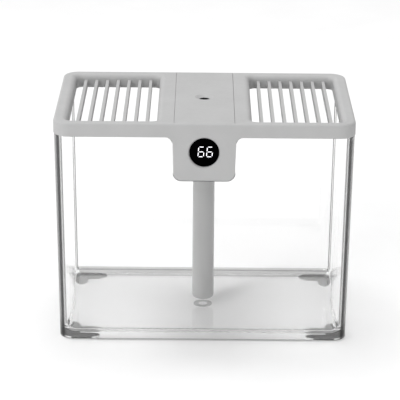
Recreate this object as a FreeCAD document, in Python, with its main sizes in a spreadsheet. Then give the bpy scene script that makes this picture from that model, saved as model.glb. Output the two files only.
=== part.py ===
import FreeCAD, Part
import math
import operator
import os
from types import SimpleNamespace

import Sketcher

# Cool mist humidifier. X runs left to right, Y front to back, Z up, all in millimetres.
# The origin is on the table under the middle of the tank. The mist bore is the Z axis.

DRIVING_SIZES = {
    # Lid, the largest piece in plan.
    "lid_width": 163.0,
    "lid_depth": 100.5,
    "total_height": 127.5,
    "lid_height": 7.8,
    "lid_corner": 8.7,
    "lid_edge_round": 1.4,
    "lid_wall": 2.4,
    "lid_skin": 2.2,
    "fine_edge_round": 0.4,
    # Tank.
    "tank_inset": 0.25,
    "tank_wall": 2.4,
    "tank_floor": 2.4,
    "tank_draft": 0.75,
    "tank_fillet": 6.0,
    "tank_inner_corner": 8.2,
    "tank_edge_round": 1.0,
    "foot_gap": 0.8,
    "floor_mark_radius": 5.3,
    "floor_mark_depth": 0.6,
    "floor_mark_boss_radius": 2.6,
    # Foot pads.
    "pad_thickness": 1.8,
    "pad_edge_gap": 2.2,
    "pad_leg_across": 20.0,
    "pad_leg_along": 18.6,
    "pad_leg_width": 8.6,
    "pad_corner": 4.3,
    # Aprons, front and rear.
    "apron_width": 34.0,
    "apron_taper": 0.35,
    "apron_skirt": 8.1,
    "apron_corner": 4.5,
    "apron_shoulder": 4.0,
    "apron_gap": 0.35,
    # Grilles: the plain bands left round each of them, and their slats.
    "side_rim": 7.4,
    "front_rim": 6.45,
    "middle_rim": 9.3,
    "grille_corner": 3.5,
    "grille_edge_round": 3.0,
    "grille_wall": 1.6,
    "slat_count": 7,
    "slat_thickness": 1.7,
    "slat_recess": 3.3,
    # Top cover and the rails that carry it.
    "cover_overhang": 0.4,
    "cover_thickness": 1.8,
    "cover_seam": 0.12,
    "cover_end_gap": 1.7,
    "rail_overhang": 2.0,
    "rail_end": 2.4,
    "bowl_radius": 5.15,
    "bowl_depth": 1.2,
    "mist_radius": 2.9,
    "mist_lip": 0.2,
    "mist_lip_thickness": 0.3,
    "sleeve_wall": 0.8,
    "chimney_wall": 0.8,
    "clip_length": 6.0,
    "clip_thickness": 1.1,
    "clip_drop": 3.6,
    "clip_spacing": 26.0,
    # Display key.
    "lens_radius": 7.9,
    "lens_margin": 0.6,
    "lens_gap": 0.25,
    "lens_bevel": 0.7,
    "lens_recess": 0.35,
    "key_travel": 0.6,
    "key_flange_lap": 1.3,
    "key_flange_thickness": 1.2,
    "key_window_width": 11.0,
    "key_window_height": 8.0,
    "key_window_corner": 1.0,
    "key_flat_gap": 0.4,
    "key_way_gap": 1.2,
    "plunger_radius": 1.5,
    "plunger_inset": 1.2,
    "plunger_reach": 0.3,
    "switch_width": 4.5,
    "switch_depth": 2.6,
    "digit_width": 12.0,
    "digit_height": 8.4,
    "digit_depth": 3.0,
    "sensor_width": 2.3,
    "sensor_depth": 1.1,
    # Housing of the electronics.
    "housing_cheek_gap": 1.0,
    "housing_end_gap": 0.25,
    "housing_wall": 1.6,
    "housing_floor": 1.8,
    "housing_lift": 0.4,
    "housing_corner": 2.4,
    "gasket_thickness": 0.6,
    "column_radius": 3.8,
    "column_inset": 0.2,
    "column_rear_gap": 4.6,
    "column_front_gap": 10.0,
    "screw_hole": 1.35,
    "screw_head_well": 2.5,
    "screw_cheek": 3.4,
    "lid_boss_radius": 3.4,
    "lid_boss_gap": 0.8,
    "screw_radius": 1.1,
    "screw_head_radius": 2.2,
    "screw_head_height": 1.7,
    "screw_length": 8.0,
    # Tower and collar of the wick tube's socket, from the tower's top down.
    "tower_drop": 9.3,
    "tower_wall": 3.4,
    "seat_depth": 4.7,
    "socket_cap": 5.5,
    "socket_gap": 0.25,
    "lug_groove_depth": 5.3,
    "lug_groove_height": 2.3,
    "lug_groove_reach": 1.4,
    "seal_under_groove": 3.6,
    "collar_wall": 1.75,
    "collar_length": 6.4,
    "wick_bore_gap": 0.5,
    # Wick tube.
    "wick_radius": 4.0,
    "wick_side_gap": 0.6,
    "tube_wall": 1.6,
    "tube_lift": 7.5,
    "tube_top_gap": 0.3,
    "tube_end_round": 2.0,
    "tube_floor": 1.6,
    "intake_rim": 1.5,
    "intake_slot_width": 2.4,
    "intake_slot_height": 9.0,
    "lug_reach": 1.1,
    "lug_width": 4.0,
    "lug_height": 1.6,
    "lug_play": 0.35,
    "seal_wire": 0.7,
    "twist_to_open": 40.0,
    "spring_inset": 0.6,
    "spring_wire": 0.3,
    "spring_turns": 5,
    "spring_length": 8.0,
    "play": 0.1,
    # Atomiser.
    "seal_side_gap": 1.0,
    "seal_cheek": 0.6,
    "mesh_lap": 1.0,
    "mesh_thickness": 0.12,
    "disc_lap": 2.0,
    "disc_thickness": 0.63,
    "disc_lift": 1.8,
    "retainer_thickness": 1.3,
    "retainer_lip": 1.5,
    "retainer_drop": 0.8,
    "small_screw_radius": 0.7,
    "small_screw_head": 1.3,
    "small_screw_head_height": 0.8,
    "small_screw_length": 5.0,
    # Boards.
    "board_thickness": 1.6,
    "main_board_lift": 6.6,
    "main_board_side_gap": 1.8,
    "main_board_front_gap": 2.0,
    "board_column_gap": 0.8,
    "board_tongue_side_gap": 1.2,
    "board_tongue_rear_gap": 0.6,
    "standoff_radius": 2.4,
    "standoff_side_inset": 4.0,
    "standoff_end_share": 0.13,
    "board_screw_radius": 0.9,
    "board_screw_head": 1.7,
    "board_screw_head_height": 1.1,
    "board_screw_length": 5.5,
    "display_board_side_gap": 1.0,
    "display_board_set_back": 7.6,
    "guide_width": 1.5,
    "guide_depth": 1.2,
    # What stands on the main board.
    "inductor_radius": 3.0,
    "inductor_height": 4.2,
    "capacitor_radius": 3.1,
    "capacitor_height": 7.0,
    "coil_side_inset": 5.1,
    "controller_width": 5.0,
    "controller_depth": 6.2,
    "controller_height": 1.5,
    "controller_inset": 4.6,
    "driver_width": 6.5,
    "driver_depth": 4.0,
    "driver_height": 1.8,
    "driver_inset": 5.2,
    "power_width": 8.94,
    "power_height": 3.26,
    "power_length": 7.8,
    "power_shell": 0.3,
    "power_back": 0.9,
    "power_tongue_width": 6.7,
    "power_tongue_thickness": 0.7,
    "power_tongue_length": 5.0,
    "power_slot_gap": 0.3,
    # Flat cable and disc wires.
    "ribbon_thickness": 0.4,
    "ribbon_height": 4.0,
    "ribbon_side_gap": 1.6,
    "ribbon_end_inset": 0.8,
    "lead_radius": 0.35,
    "lead_spacing": 1.0,
    "lead_bend": 1.4,
    "lead_way_gap": 0.4,
}

ALONG_Y, ALONG_Z = FreeCAD.Vector(0, 1, 0), FreeCAD.Vector(0, 0, 1)
# Sketcher's numbers for a curve's start, its end and its centre.
START, END, CENTRE = 1, 2, 3
# Two places closer than this are one place.
SAME_PLACE = 1e-4
FULL_TURN = 360
# Length and width of the arms of a screw's cross recess, as shares of its head's radius.
CROSS_LENGTH, CROSS_WIDTH = 1.2, 0.33
OPERATIONS = {"+": operator.add, "-": operator.sub, "*": operator.mul, "/": operator.truediv}

doc = FreeCAD.newDocument("humidifier")
sheet = doc.addObject("Spreadsheet::Sheet", "sizes")


class Size:
    """A number that follows the sheet: its expression, and what the expression gives now."""

    def __init__(self, text, value):
        self.text = text
        self.value = value

    def __add__(self, other):
        return joined(self, "+", other)

    def __radd__(self, other):
        return joined(other, "+", self)

    def __sub__(self, other):
        return joined(self, "-", other)

    def __rsub__(self, other):
        return joined(other, "-", self)

    def __mul__(self, other):
        return joined(self, "*", other)

    def __rmul__(self, other):
        return joined(other, "*", self)

    def __truediv__(self, other):
        return joined(self, "/", other)

    def __neg__(self):
        return joined(0, "-", self)


def as_size(number):
    return number if isinstance(number, Size) else Size("(%r)" % float(number), float(number))


def joined(left, sign, right):
    left, right = as_size(left), as_size(right)
    text = "(%s %s %s)" % (left.text, sign, right.text)
    return Size(text, OPERATIONS[sign](left.value, right.value))


def fill_sheet():
    """Write each driving size to the sheet, and return them as sizes by name."""
    for row, (alias, number) in enumerate(DRIVING_SIZES.items(), start=1):
        sheet.set("A%d" % row, alias)
        sheet.set("B%d" % row, str(number))
        sheet.setAlias("B%d" % row, alias)
    doc.recompute()
    return SimpleNamespace(**{
        alias: Size("sizes.%s" % alias, float(sheet.get(alias))) for alias in DRIVING_SIZES
    })


d = fill_sheet()
ZERO = as_size(0)

# Lid and tank.
lid_base = d.total_height - d.lid_height
half_width = d.lid_width / 2
half_depth = d.lid_depth / 2
tank_half_x = half_width - d.tank_inset
tank_half_y = half_depth - d.tank_inset
tank_height = lid_base - d.foot_gap
floor_top = d.foot_gap + d.tank_floor
draft_in = tank_height * math.tan(math.radians(d.tank_draft.value))

# Display key, and the apron round it.
key_drop = d.lid_height + d.lens_margin + d.lens_radius
key_height = d.total_height - key_drop
key_flange = d.lens_radius + d.key_flange_lap
key_face = -half_depth + d.lid_wall + d.play
key_back = key_face + d.key_flange_thickness
lens_front = -half_depth + d.lens_recess
apron_bottom = key_height - d.lens_radius - d.apron_skirt

# Housing, between the two aprons.
housing_half_x = d.apron_width / 2 - d.housing_cheek_gap
housing_half_y = half_depth - d.lid_wall - d.housing_end_gap
inner_half_x = housing_half_x - d.housing_wall
inner_half_y = housing_half_y - d.housing_wall
housing_base = apron_bottom + d.housing_lift
housing_floor_top = housing_base + d.housing_floor
housing_top = lid_base - d.gasket_thickness

# Grilles, top cover and rails.
rail_half_x = housing_half_x + d.rail_overhang
opening_half_x = inner_half_x
opening_half_y = half_depth - d.lid_wall - d.rail_end
cover_half_x = housing_half_x + d.cover_overhang
cover_half_y = half_depth - d.cover_end_gap
cover_base = d.total_height - d.cover_thickness
lid_boss_height = d.lid_height - d.cover_thickness - d.lid_boss_gap
grille_inner = cover_half_x + d.middle_rim
grille_outer = half_width - d.side_rim
grille_centre = (grille_inner + grille_outer) / 2
grille_half_x = (grille_outer - grille_inner) / 2
grille_half_y = half_depth - d.front_rim

# Wick, and what goes round it: tube, seal, perforated plate, disc and tower.
tube_bore = d.wick_radius + d.wick_side_gap
tube_radius = tube_bore + d.tube_wall
intake_radius = d.wick_radius - d.intake_rim
spring_radius = d.wick_radius - d.spring_inset
seal_bore = d.wick_radius + d.seal_side_gap
mesh_radius = seal_bore + d.mesh_lap
disc_radius = mesh_radius + d.disc_lap
disc_hole = d.wick_radius
seat_radius = disc_radius + d.seal_cheek
tower_radius = seat_radius + d.tower_wall
retainer_screw_circle = (seat_radius + tower_radius) / 2
socket_radius = tube_radius + d.socket_gap
lug_groove_radius = socket_radius + d.lug_groove_reach
collar_radius = lug_groove_radius + d.collar_wall
sleeve_bore = d.mist_radius + d.mist_lip
chimney_bore = sleeve_bore + d.sleeve_wall
chimney_radius = chimney_bore + d.chimney_wall

# Levels up the tower.
tower_top = d.total_height - d.tower_drop
seat_base = tower_top - d.seat_depth
seal_top = tower_top - d.retainer_drop
socket_top = seat_base - d.socket_cap
lug_groove_base = socket_top - d.lug_groove_depth
tube_seal_height = lug_groove_base - d.seal_under_groove
chimney_base = tower_top + d.retainer_thickness / 2
bowl_floor = d.total_height - d.bowl_depth
sleeve_top = bowl_floor - d.mist_lip_thickness
tube_top = socket_top - d.tube_top_gap
tube_floor_top = d.tube_lift + d.tube_floor
spring_base = tube_floor_top + d.play
wick_base = spring_base + d.spring_length + d.play
disc_base = seat_base + d.disc_lift
disc_top = disc_base + d.disc_thickness
wick_top = disc_base - d.mesh_thickness - d.play * 2

# Screw columns and boards.
column_across = housing_half_x - d.column_radius - d.column_inset
column_rear = housing_half_y - d.column_rear_gap
display_board_back = housing_half_y - d.display_board_set_back
display_board_front = -display_board_back - d.board_thickness
display_board_half = inner_half_x - d.display_board_side_gap
display_board_base = housing_floor_top + d.play
display_board_top = housing_top - d.gasket_thickness
column_front = display_board_back - d.column_front_gap
switch_height = key_height - key_flange + d.plunger_inset
main_board_base = housing_floor_top + d.main_board_lift
main_board_top = main_board_base + d.board_thickness
main_board_half = inner_half_x - d.main_board_side_gap
main_board_front = tower_radius + d.main_board_front_gap
main_board_rear = column_rear - d.column_radius - d.board_column_gap
board_tongue_half = column_across - d.column_radius - d.board_tongue_side_gap
board_tongue_rear = inner_half_y - d.board_tongue_rear_gap
standoff_across = main_board_half - d.standoff_side_inset
standoff_inset = (main_board_rear - main_board_front) * d.standoff_end_share
standoff_front = main_board_front + standoff_inset
standoff_rear = main_board_rear - standoff_inset
power_centre = main_board_top + d.power_height / 2
power_mouth = half_depth - d.tank_inset

COLUMNS = [(side * column_across, end) for side in (-1, 1) for end in (-column_front, column_rear)]
STANDOFFS = [(side * standoff_across, end) for side in (-1, 1) for end in (standoff_front, standoff_rear)]
RETAINER_SCREW_ANGLES = (30, 150, 270)
# Name and sign of X, then name and sign of Y.
PLAN_CORNERS = [
    ("left", -1, "front", -1), ("right", 1, "front", -1),
    ("left", -1, "rear", 1), ("right", 1, "rear", 1),
]


def bind(item, name, size):
    """Tie a property, or a part of one, to a size."""
    item.setExpression(name, as_size(size).text)


def new_body(label):
    body = doc.addObject("PartDesign::Body", label)
    body.Label = label
    return body


def sketch_on(body, role, offset=ZERO):
    """A sketch on one of the body's own origin planes, moved along the plane's normal."""
    plane = next(item for item in body.Origin.OriginFeatures if item.Role == role)
    sketch = body.newObject("Sketcher::SketchObject", body.Name + "_sketch")
    sketch.AttachmentSupport = [(plane, "")]
    sketch.MapMode = "FlatFace"
    sketch.AttachmentOffset = FreeCAD.Placement(FreeCAD.Vector(0, 0, offset.value), FreeCAD.Rotation())
    bind(sketch, "AttachmentOffset.Base.z", offset)
    return sketch


def flat_sketch(body, height):
    """A horizontal sketch: its axes are X and Y."""
    return sketch_on(body, "XY_Plane", height)


def upright_sketch(body, depth):
    """A sketch across the depth: its axes are X and Z, and it looks to the front."""
    return sketch_on(body, "XZ_Plane", -depth)


def hold(sketch, kind, geometry, point, size):
    """A dimension from the sketch's origin to a point, or a radius, tied to a size."""
    places = (geometry,) if kind == "Radius" else (-1, START, geometry, point)
    index = sketch.addConstraint(Sketcher.Constraint(kind, *places, as_size(size).value))
    bind(sketch, "Constraints[%d]" % index, size)


def hold_point(sketch, geometry, point, x, y):
    hold(sketch, "DistanceX", geometry, point, x)
    hold(sketch, "DistanceY", geometry, point, y)


def add_circle(sketch, radius, x=ZERO, y=ZERO):
    centre = FreeCAD.Vector(as_size(x).value, as_size(y).value, 0)
    index = sketch.addGeometry(Part.Circle(centre, ALONG_Z, radius.value), False)
    hold(sketch, "Radius", index, CENTRE, radius)
    hold_point(sketch, index, CENTRE, x, y)


def arc_between(first, last, radius, turn):
    """The short arc from first to last; turn is 1 where it bends to the left and -1 to the right."""
    chord = last - first
    rise = math.sqrt(max(radius ** 2 - (chord.Length / 2) ** 2, 0))
    to_left = FreeCAD.Vector(-chord.y, chord.x, 0).normalize()
    centre = (first + last) / 2 + to_left * (turn * rise)
    ends = [math.atan2(point.y - centre.y, point.x - centre.x) for point in (first, last)]
    begin, finish = ends if turn > 0 else reversed(ends)
    return Part.ArcOfCircle(Part.Circle(centre, ALONG_Z, radius), begin, finish)


def add_outline(sketch, steps):
    """A closed outline. A step is the start of a line, x and y, or of an arc, with its radius and turn."""
    points = [FreeCAD.Vector(as_size(step[0]).value, as_size(step[1]).value, 0) for step in steps]
    pieces = []
    for number, step in enumerate(steps):
        first, last = points[number], points[(number + 1) % len(points)]
        if len(step) == 2:
            index = sketch.addGeometry(Part.LineSegment(first, last), False)
            ends = (START, END)
        else:
            radius, turn = step[2], step[3]
            index = sketch.addGeometry(arc_between(first, last, as_size(radius).value, turn), False)
            ends = (START, END) if turn > 0 else (END, START)
            hold(sketch, "Radius", index, CENTRE, radius)
        hold_point(sketch, index, ends[0], step[0], step[1])
        pieces.append((index, ends))
    for number, (index, ends) in enumerate(pieces):
        following, next_ends = pieces[(number + 1) % len(pieces)]
        sketch.addConstraint(Sketcher.Constraint("Coincident", index, ends[1], following, next_ends[0]))


def add_rectangle(sketch, half_x, half_y, corner=None, x=ZERO, y=ZERO):
    """A rectangle about x and y, with round corners where a corner radius is given."""
    left, right, low, high = x - half_x, x + half_x, y - half_y, y + half_y
    if corner is None:
        add_outline(sketch, [(left, low), (right, low), (right, high), (left, high)])
        return
    add_outline(sketch, [
        (left + corner, low), (right - corner, low, corner, 1),
        (right, low + corner), (right, high - corner, corner, 1),
        (right - corner, high), (left + corner, high, corner, 1),
        (left, high - corner), (left, low + corner, corner, 1),
    ])


def add_feature(body, kind, sketch, length, reverse=False, both_ways=False):
    feature = body.newObject("PartDesign::" + kind, body.Name + "_" + kind.lower())
    feature.Profile = sketch
    feature.Reversed = reverse
    feature.Midplane = both_ways
    bind(feature, "Length", length)
    return feature


def pad(body, sketch, length, reverse=False, both_ways=False):
    return add_feature(body, "Pad", sketch, length, reverse, both_ways)


def pocket(body, sketch, length, reverse=False, both_ways=False):
    return add_feature(body, "Pocket", sketch, length, reverse, both_ways)


def turn_feature(body, kind, sketch):
    """A revolution or a groove all the way round the Z axis."""
    feature = body.newObject("PartDesign::" + kind, body.Name + "_" + kind.lower())
    feature.Profile = sketch
    axis = next(item for item in body.Origin.OriginFeatures if item.Role == "Z_Axis")
    feature.ReferenceAxis = (axis, [""])
    feature.Angle = FULL_TURN
    return feature


def turned(body, kind, profile):
    """Turn a closed profile of (radius, height) corners about the Z axis."""
    sketch = upright_sketch(body, ZERO)
    add_outline(sketch, profile)
    return turn_feature(body, kind, sketch)


def edges_where(feature, test):
    """Names of the feature's edges for which the test of their bounding box holds."""
    doc.recompute()
    return ["Edge%d" % number for number, edge in enumerate(feature.Shape.Edges, start=1) if test(edge)]


def lies_at(edge, axis, place):
    """Whether an edge lies wholly in the plane where X, Y or Z has the given size."""
    box = edge.BoundBox
    low, high = getattr(box, axis + "Min"), getattr(box, axis + "Max")
    return abs(low - place.value) < SAME_PLACE and abs(high - place.value) < SAME_PLACE


def round_edges(body, feature, test, radius):
    rounding = body.newObject("PartDesign::Fillet", body.Name + "_round")
    rounding.Base = (feature, edges_where(feature, test))
    bind(rounding, "Radius", radius)
    doc.recompute()
    return rounding


def box(name, corner, lengths):
    """A block from its lowest corner and its three lengths."""
    block = doc.addObject("Part::Box", name)
    for side, length in zip(("Length", "Width", "Height"), lengths):
        bind(block, side, length)
    for axis, place in zip("xyz", corner):
        bind(block, "Placement.Base." + axis, place)
    return block


def centred_box(name, x, y, base, lengths):
    """A block with its middle over x and y, standing on base."""
    return box(name, (x - lengths[0] / 2, y - lengths[1] / 2, base), lengths)


def rod(name, radius, length, x, y, base):
    """An upright round bar that stands on base."""
    bar = doc.addObject("Part::Cylinder", name)
    bind(bar, "Radius", radius)
    bind(bar, "Height", length)
    for axis, place in zip("xyz", (x, y, base)):
        bind(bar, "Placement.Base." + axis, place)
    return bar


def fused(name, items):
    whole = doc.addObject("Part::MultiFuse", name)
    whole.Shapes = items
    return whole


def less(name, base, tool):
    rest = doc.addObject("Part::Cut", name)
    rest.Base = base
    rest.Tool = tool
    return rest


def group(name, items):
    """Alike pieces that share one node as separate solids."""
    whole = doc.addObject("Part::Compound", name)
    whole.Links = items
    return whole


def ready_shape(name, shape):
    feature = doc.addObject("Part::Feature", name)
    feature.Shape = shape
    return feature


def add_apron_outline(sketch, gap, rise):
    """The apron's outline, grown by gap, from its round foot to its shoulders and on up by rise."""
    top_half, foot_half = d.apron_width / 2 + gap, d.apron_width / 2 - d.apron_taper + gap
    shoulder, corner = d.apron_shoulder - gap, d.apron_corner + gap
    foot, top = apron_bottom - gap, lid_base + rise
    add_outline(sketch, [
        (-top_half - shoulder, lid_base, shoulder, -1), (-top_half, lid_base - shoulder),
        (-foot_half, foot + corner, corner, 1), (-foot_half + corner, foot),
        (foot_half - corner, foot, corner, 1), (foot_half, foot + corner),
        (top_half, lid_base - shoulder, shoulder, -1), (top_half + shoulder, lid_base),
        (top_half + shoulder, top), (-top_half - shoulder, top),
    ])


def pad_outline(sketch, side, end):
    """An L along two sides of a tank corner, with round ends; side and end are the signs of X and Y."""
    outer_x = tank_half_x - draft_in - d.pad_edge_gap
    outer_y = tank_half_y - draft_in - d.pad_edge_gap
    inner_x, inner_y = outer_x - d.pad_leg_width, outer_y - d.pad_leg_width
    far_x, far_y = outer_x - d.pad_leg_across, outer_y - d.pad_leg_along
    bend, turn = d.pad_leg_width / 2 - d.play, side * end
    steps = [
        (far_x + bend, outer_y, bend, 1), (far_x, outer_y - bend), (far_x, inner_y + bend, bend, 1),
        (far_x + bend, inner_y), (inner_x, inner_y), (inner_x, far_y + bend, bend, 1),
        (inner_x + bend, far_y), (outer_x - bend, far_y, bend, 1), (outer_x, far_y + bend),
        (outer_x, outer_y - d.pad_corner, d.pad_corner, 1), (outer_x - d.pad_corner, outer_y),
    ]
    add_outline(sketch, [
        (step[0] * side, step[1] * end) + ((step[2], step[3] * turn) if step[2:] else ()) for step in steps
    ])


def make_tank():
    """Clear tank: drafted walls, round inner foot, apron notches, pad seats and the floor's centre mark."""
    body = new_body("tank")
    outside = flat_sketch(body, lid_base)
    add_rectangle(outside, tank_half_x, tank_half_y, d.lid_corner - d.tank_inset)
    shell = pad(body, outside, tank_height, reverse=True)
    bind(shell, "TaperAngle", -d.tank_draft)
    inside = flat_sketch(body, lid_base)
    add_rectangle(inside, tank_half_x - d.tank_wall, tank_half_y - d.tank_wall, d.tank_inner_corner)
    hollow = pocket(body, inside, tank_height - d.tank_floor)
    bind(hollow, "TaperAngle", -d.tank_draft)
    rounded = round_edges(body, hollow, lambda edge: lies_at(edge, "Z", floor_top), d.tank_fillet)
    round_edges(body, rounded, lambda edge: lies_at(edge, "Z", d.foot_gap), d.tank_edge_round)
    notch = upright_sketch(body, ZERO)
    add_apron_outline(notch, d.apron_gap, d.lid_height)
    pocket(body, notch, d.lid_depth * 2, both_ways=True)
    seats = flat_sketch(body, d.foot_gap)
    for _, side, _, end in PLAN_CORNERS:
        pad_outline(seats, side, end)
    pocket(body, seats, d.pad_thickness - d.foot_gap, reverse=True)
    mark = flat_sketch(body, floor_top)
    add_circle(mark, d.floor_mark_radius)
    add_circle(mark, d.floor_mark_boss_radius)
    pocket(body, mark, d.floor_mark_depth)
    return [body]


def make_foot_pads():
    """Four soft pads, each let into the tank's underside and standing proud of it."""
    pads = []
    for side_name, side, end_name, end in PLAN_CORNERS:
        body = new_body("foot_pad_%s_%s" % (end_name, side_name))
        sketch = flat_sketch(body, ZERO)
        pad_outline(sketch, side, end)
        slab = pad(body, sketch, d.pad_thickness)
        round_edges(body, slab, lambda edge: lies_at(edge, "Z", ZERO), d.fine_edge_round)
        pads.append(body)
    return pads


def slat_places():
    """Middles of the slats across both grilles."""
    count = int(d.slat_count.value)
    gap = (grille_half_x * 2 - d.slat_thickness * count) / (count + 1)
    first = grille_inner + gap + d.slat_thickness / 2
    places = [first + number * (gap + d.slat_thickness) for number in range(count)]
    return [side * place for side in (-1, 1) for place in places]


def add_grille_outlines(sketch, grow):
    for side in (-1, 1):
        add_rectangle(sketch, grille_half_x + grow, grille_half_y + grow, d.grille_corner + grow,
                      x=side * grille_centre)


def on_lid_opening(edge):
    """Whether an edge is one of a grille opening's at the lid's top."""
    box = edge.BoundBox
    nearest, farthest = min(abs(box.XMin), abs(box.XMax)), max(abs(box.XMin), abs(box.XMax))
    across = nearest > grille_inner.value - SAME_PLACE and farthest < grille_outer.value + SAME_PLACE
    return lies_at(edge, "Z", d.total_height) and across


def on_lid_rim(edge):
    """Whether an edge is one of the outer ones at the lid's top."""
    return lies_at(edge, "Z", d.total_height)


def on_lid_foot(edge):
    """Whether an edge is one of the lid's lower outer ones, aprons included."""
    box = edge.BoundBox
    low = box.ZMax < lid_base.value + SAME_PLACE
    on_face = lies_at(edge, "Y", half_depth) or lies_at(edge, "Y", -half_depth)
    farthest = max(abs(box.XMin), abs(box.XMax))
    at_side = lies_at(edge, "Z", lid_base) and farthest > half_width.value - d.lid_corner.value
    return low and (on_face or at_side)


def on_eye_rim(edge):
    """Whether an edge is the outer one of the hole for the lens."""
    width = 2 * (d.lens_radius + d.lens_gap).value
    return lies_at(edge, "Y", -half_depth) and abs(edge.BoundBox.XLength - width) < SAME_PLACE


def make_lid_frame():
    """Lid moulding: hollow rim, two slatted grilles, front and rear aprons, and rails for the cover."""
    body = new_body("lid_frame")
    plan = flat_sketch(body, lid_base)
    add_rectangle(plan, half_width, half_depth, d.lid_corner)
    slab = pad(body, plan, d.lid_height)
    round_edges(body, slab, on_lid_rim, d.lid_edge_round)
    for end in (-1, 1):
        apron = upright_sketch(body, end * half_depth)
        add_apron_outline(apron, ZERO, d.lid_height / 2)
        last = pad(body, apron, d.lid_wall, reverse=end < 0)
    round_edges(body, last, on_lid_foot, d.fine_edge_round)
    openings = flat_sketch(body, d.total_height)
    add_grille_outlines(openings, ZERO)
    cut = pocket(body, openings, d.lid_height)
    round_edges(body, cut, on_lid_opening, d.grille_edge_round)
    hollow = flat_sketch(body, lid_base)
    add_rectangle(hollow, half_width - d.lid_wall, half_depth - d.lid_wall, d.lid_corner - d.lid_wall)
    add_grille_outlines(hollow, d.grille_wall)
    pocket(body, hollow, d.lid_height - d.lid_skin, reverse=True)
    rails = flat_sketch(body, lid_base)
    add_rectangle(rails, rail_half_x, half_depth - d.lid_wall)
    add_rectangle(rails, opening_half_x, opening_half_y)
    pad(body, rails, d.lid_height - d.lid_skin)
    well = flat_sketch(body, d.total_height)
    add_rectangle(well, opening_half_x, opening_half_y)
    pocket(body, well, d.lid_height)
    recess = flat_sketch(body, d.total_height)
    add_rectangle(recess, cover_half_x, cover_half_y)
    pocket(body, recess, d.cover_thickness)
    slats = flat_sketch(body, lid_base)
    for place in slat_places():
        add_rectangle(slats, d.slat_thickness / 2, grille_half_y + d.grille_wall / 2, x=place)
    pad(body, slats, d.lid_height - d.slat_recess)
    bosses = flat_sketch(body, lid_base)
    pilots = flat_sketch(body, lid_base)
    for x, y in COLUMNS:
        add_circle(bosses, d.lid_boss_radius, x, y)
        add_circle(pilots, d.screw_radius, x, y)
    pad(body, bosses, lid_boss_height)
    pocket(body, pilots, lid_boss_height, reverse=True)
    eye = upright_sketch(body, -half_depth)
    add_circle(eye, d.lens_radius + d.lens_gap, ZERO, key_height)
    hole = pocket(body, eye, d.lid_wall)
    bevel = body.newObject("PartDesign::Chamfer", "eye_bevel")
    bevel.Base = (hole, edges_where(hole, on_eye_rim))
    bind(bevel, "Size", d.lens_bevel)
    slot = upright_sketch(body, half_depth)
    add_power_slot(slot)
    pocket(body, slot, d.lid_wall, reverse=True)
    return [body]


def add_power_slot(sketch):
    """The clear outline round the power socket's shell."""
    gap = d.power_slot_gap
    add_rectangle(sketch, d.power_width / 2 + gap, d.power_height / 2 + gap,
                  d.power_height / 2 + gap - d.play, y=power_centre)


def make_top_cover():
    """Centre panel with the mist bowl, the chimney under it and four spring clips."""
    body = new_body("top_cover")
    plate = flat_sketch(body, cover_base)
    add_rectangle(plate, cover_half_x - d.cover_seam, cover_half_y - d.cover_seam)
    slab = pad(body, plate, d.cover_thickness)
    round_edges(body, slab, lambda edge: lies_at(edge, "Z", d.total_height), d.fine_edge_round / 2)
    chimney = flat_sketch(body, cover_base)
    add_circle(chimney, chimney_radius)
    pad(body, chimney, cover_base - chimney_base, reverse=True)
    clips = flat_sketch(body, cover_base)
    clip_x = opening_half_x - d.cover_seam - d.clip_thickness / 2
    for side in (-1, 1):
        for end in (-1, 1):
            add_rectangle(clips, d.clip_thickness / 2, d.clip_length / 2,
                          x=side * clip_x, y=end * d.clip_spacing / 2)
    pad(body, clips, d.clip_drop, reverse=True)
    over = d.total_height + d.play
    turned(body, "Groove", [
        (ZERO, tower_top), (chimney_bore, tower_top), (chimney_bore, sleeve_top),
        (d.mist_radius, sleeve_top), (d.mist_radius, bowl_floor), (d.bowl_radius, d.total_height),
        (d.bowl_radius, over), (ZERO, over),
    ])
    return [body]


def make_mist_sleeve():
    """Soft black lining of the chimney."""
    body = new_body("mist_sleeve")
    sketch = flat_sketch(body, chimney_base)
    add_circle(sketch, chimney_bore)
    add_circle(sketch, sleeve_bore)
    pad(body, sketch, sleeve_top - chimney_base)
    return [body]


def make_housing():
    """Tub under the lid: board supports, screw columns, and the tower and collar for the wick tube."""
    body = new_body("housing")
    plan = flat_sketch(body, housing_base)
    add_rectangle(plan, housing_half_x, housing_half_y, d.housing_corner)
    pad(body, plan, housing_top - housing_base)
    inside = flat_sketch(body, housing_top)
    add_rectangle(inside, inner_half_x, inner_half_y, d.housing_corner - d.housing_wall)
    pocket(body, inside, housing_top - housing_floor_top)
    columns = flat_sketch(body, housing_base)
    for x, y in COLUMNS:
        add_circle(columns, d.column_radius, x, y)
    pad(body, columns, housing_top - housing_base)
    tower = flat_sketch(body, housing_base)
    add_circle(tower, tower_radius)
    pad(body, tower, tower_top - housing_base)
    collar = flat_sketch(body, housing_base)
    add_circle(collar, collar_radius)
    pad(body, collar, d.collar_length, reverse=True)
    standoffs = flat_sketch(body, housing_base)
    for x, y in STANDOFFS:
        add_circle(standoffs, d.standoff_radius, x, y)
    pad(body, standoffs, main_board_base - housing_base)
    guides = flat_sketch(body, housing_base)
    for x, y in guide_places():
        add_rectangle(guides, (d.guide_width + d.play) / 2, d.guide_depth / 2, x=x, y=y)
    pad(body, guides, display_board_top - housing_base)
    cut_housing_holes(body)
    return [body]


def guide_places():
    """Middles of the four ribs that hold the display board by its side edges."""
    across = inner_half_x - (d.guide_width - d.play) / 2
    before = display_board_front - d.play - d.guide_depth / 2
    behind = -display_board_back + d.play + d.guide_depth / 2
    return [(side * across, y) for side in (-1, 1) for y in (before, behind)]


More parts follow.
